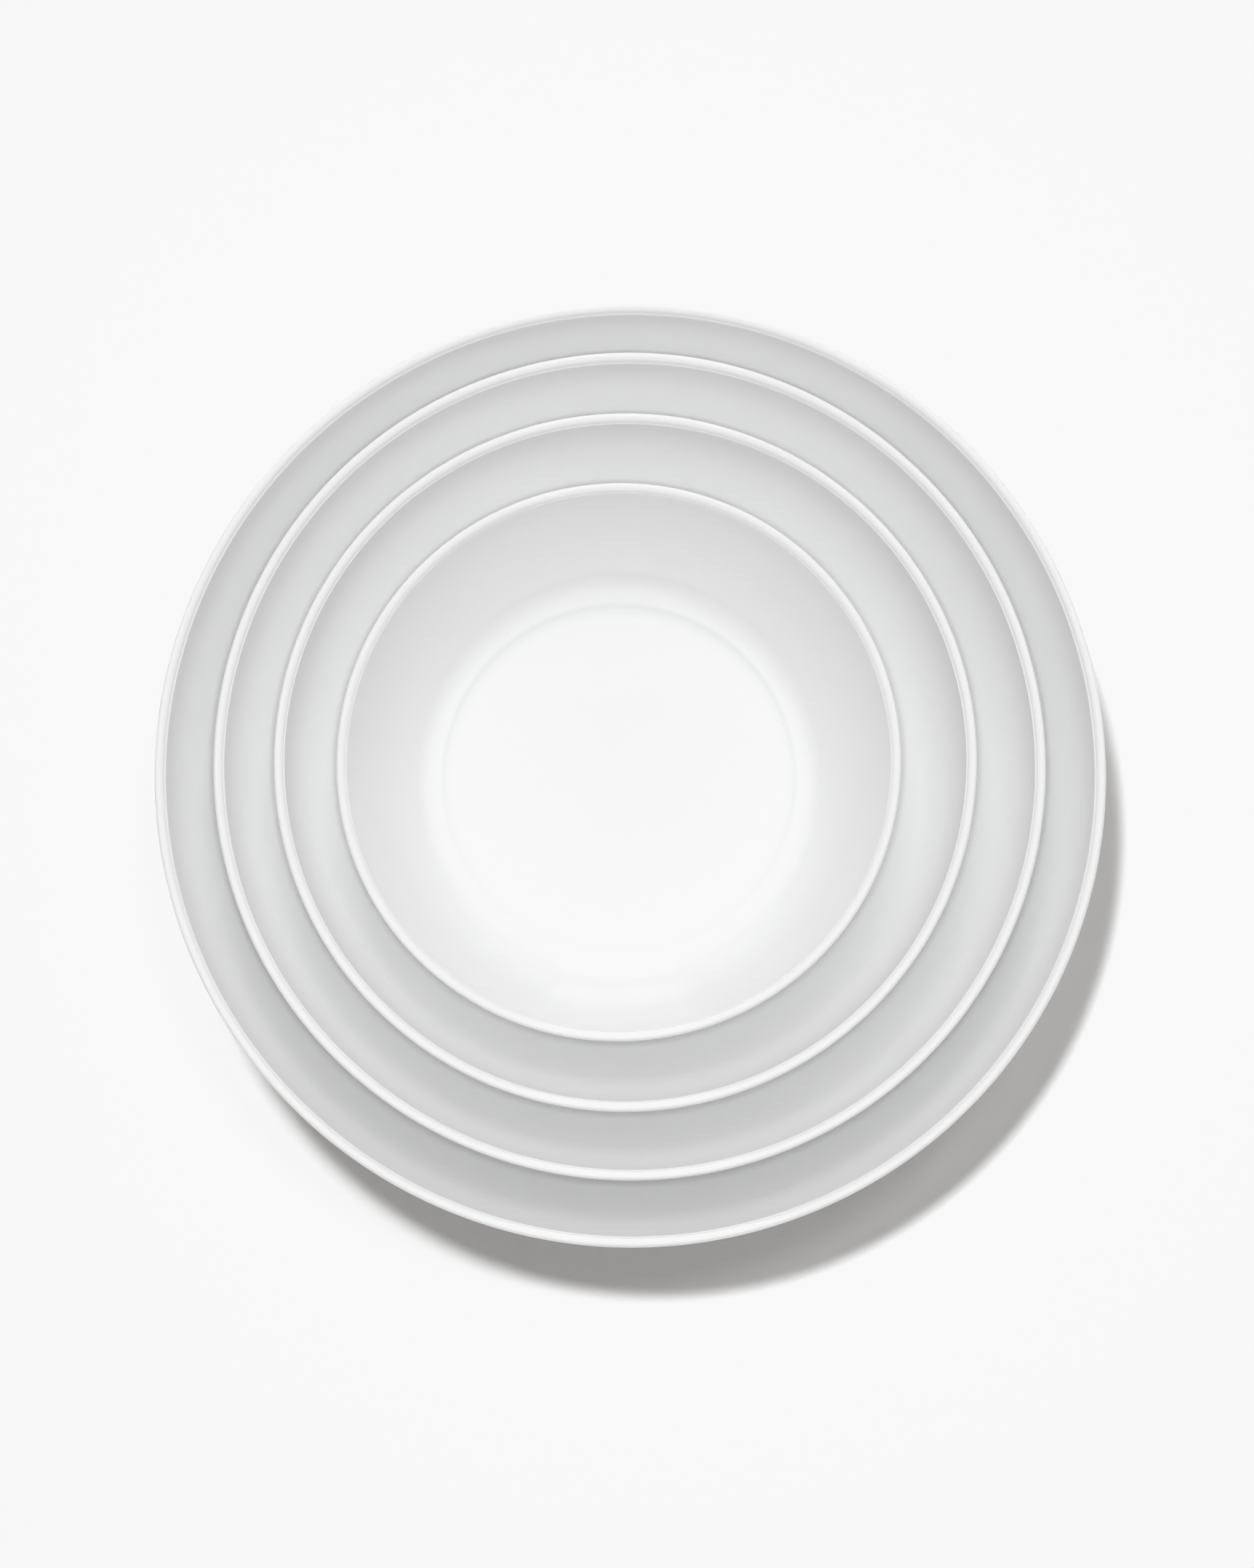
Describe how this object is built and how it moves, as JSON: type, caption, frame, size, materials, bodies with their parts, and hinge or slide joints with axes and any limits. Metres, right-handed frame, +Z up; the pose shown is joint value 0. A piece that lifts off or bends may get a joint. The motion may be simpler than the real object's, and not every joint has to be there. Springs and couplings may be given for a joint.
{
  "type": "nesting serving bowls",
  "caption": "Nest of low round white glazed porcelain bowls of graded sizes, stacked one inside another, each with a full-round lip, sunk flat floor and unglazed foot ring.",
  "frame": {"origin": "centre of the largest bowl's foot ring, on the plane the nest stands on", "axes": "+Z up, out of the bowls' mouths; +Y away from the viewer, towards the side where the gaps between the rims are narrowest; +X to the viewer's right"},
  "size_m": [0.2502, 0.2502, 0.0565],
  "materials": {
    "white_porcelain": "clear gloss glaze over white porcelain, bare matt bisque on the foot ring's contact band"
  },
  "bodies": {
    "large": {"bowl_large": "white_porcelain"},
    "medium": {"bowl_medium": "white_porcelain"},
    "small": {"bowl_small": "white_porcelain"},
    "smallest": {"bowl_smallest": "white_porcelain"}
  },
  "joints": [
    {"name": "lift_medium", "type": "slide", "parent": "large", "child": "medium", "axis": [0, 0, 1], "range_m": [0, 0.065]},
    {"name": "lift_small", "type": "slide", "parent": "medium", "child": "small", "axis": [0, 0, 1], "range_m": [0, 0.055]},
    {"name": "lift_smallest", "type": "slide", "parent": "small", "child": "smallest", "axis": [0, 0, 1], "range_m": [0, 0.05]}
  ]
}
